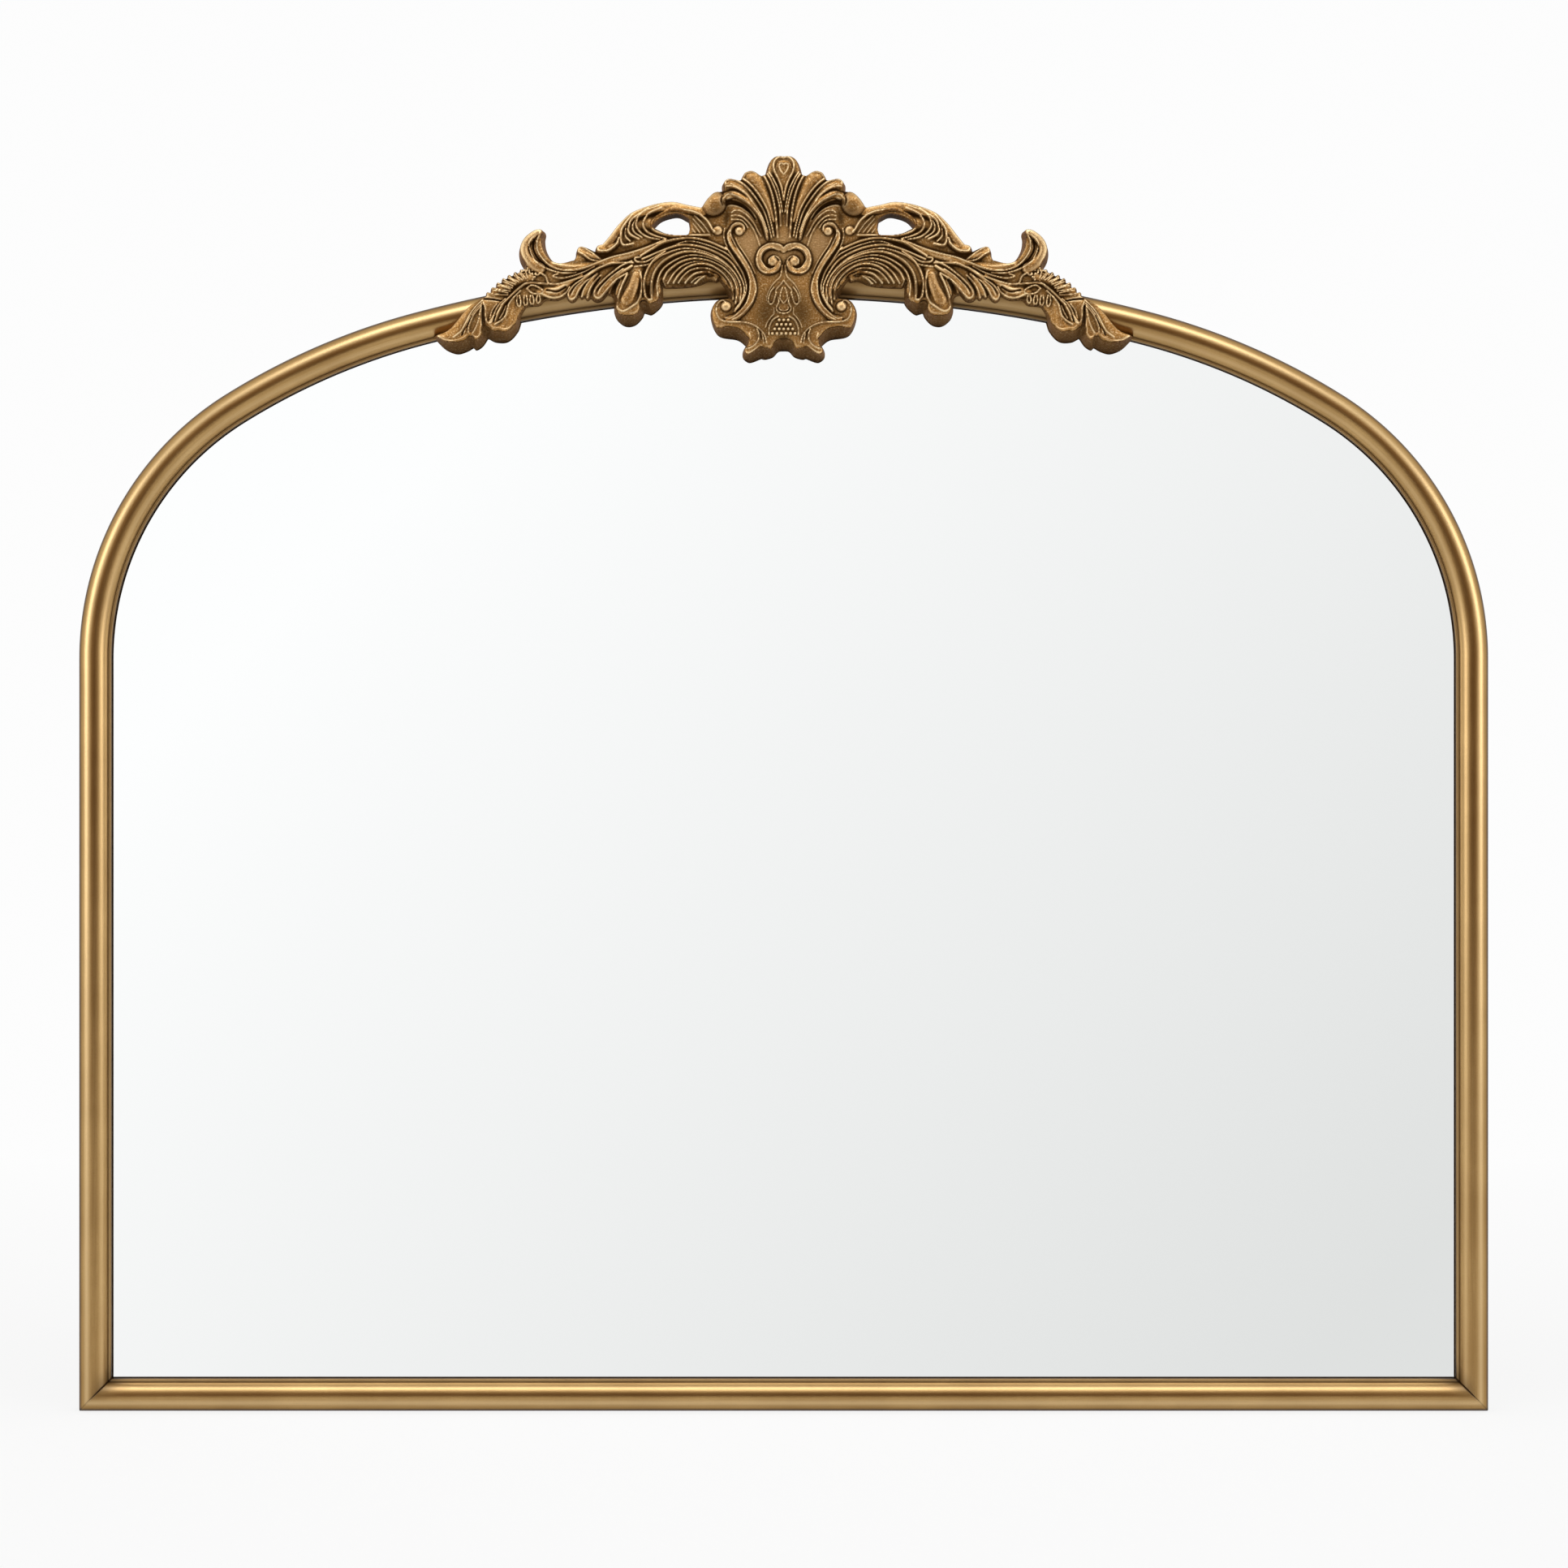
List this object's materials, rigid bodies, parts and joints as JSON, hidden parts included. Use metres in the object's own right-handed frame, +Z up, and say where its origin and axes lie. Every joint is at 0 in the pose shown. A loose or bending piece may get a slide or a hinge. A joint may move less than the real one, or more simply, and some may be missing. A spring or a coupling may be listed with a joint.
{
  "type": "arched wall mirror",
  "caption": "Arched wall mirror in a slim half-round gold frame with a carved shell-and-leaf crest, silvered glass, a backing panel and swinging D-ring hangers.",
  "frame": {"origin": "middle of the frame's underside, on the plane where the back panel seats in the rebate", "axes": "+X to the viewer's right along the frame's width, +Z up, the mirror's front faces -Y and its back +Y"},
  "size_m": [0.914, 0.0407, 0.8129],
  "materials": {
    "antique_gold": "antique gold leaf colour over a moulded wood-composite core, satin",
    "antique_gold_cast": "cast resin with an antique gold finish, dark in the recesses and worn bright on the ridges",
    "silvered_glass": "polished float glass, silvered on its back",
    "fibreboard": "bare medium-density fibreboard",
    "steel": "zinc plated",
    "plated_steel": "nickel plated, satin",
    "foam_tape": "white acrylic foam",
    "bumper_rubber": "black rubber, matte"
  },
  "bodies": {
    "frame": {"arch_rail": "antique_gold", "bottom_rail": "antique_gold", "crest": "antique_gold_cast", "mirror_glass": "silvered_glass", "back_panel": "fibreboard", "mitre_nails": "steel", "panel_screws": "steel", "crest_screws": "steel", "hanger_screws": "steel", "glass_tape_1": "foam_tape", "glass_tape_2": "foam_tape", "glass_tape_3": "foam_tape", "glass_tape_4": "foam_tape", "bumper_lower_left": "bumper_rubber", "bumper_lower_right": "bumper_rubber", "bumper_upper_left": "bumper_rubber", "bumper_upper_right": "bumper_rubber", "hanger_strap_left": "plated_steel", "hanger_strap_right": "plated_steel"},
    "d_ring_left": {"d_ring_left": "plated_steel"},
    "d_ring_right": {"d_ring_right": "plated_steel"}
  },
  "joints": [
    {"name": "d_ring_left_swing", "type": "hinge", "parent": "frame", "child": "d_ring_left", "pos_m": [-0.297, 0.01175, 0.578], "axis": [1, 0, 0], "range_deg": [0, 180]},
    {"name": "d_ring_right_swing", "type": "hinge", "parent": "frame", "child": "d_ring_right", "pos_m": [0.297, 0.01175, 0.578], "axis": [1, 0, 0], "range_deg": [0, 180]}
  ]
}
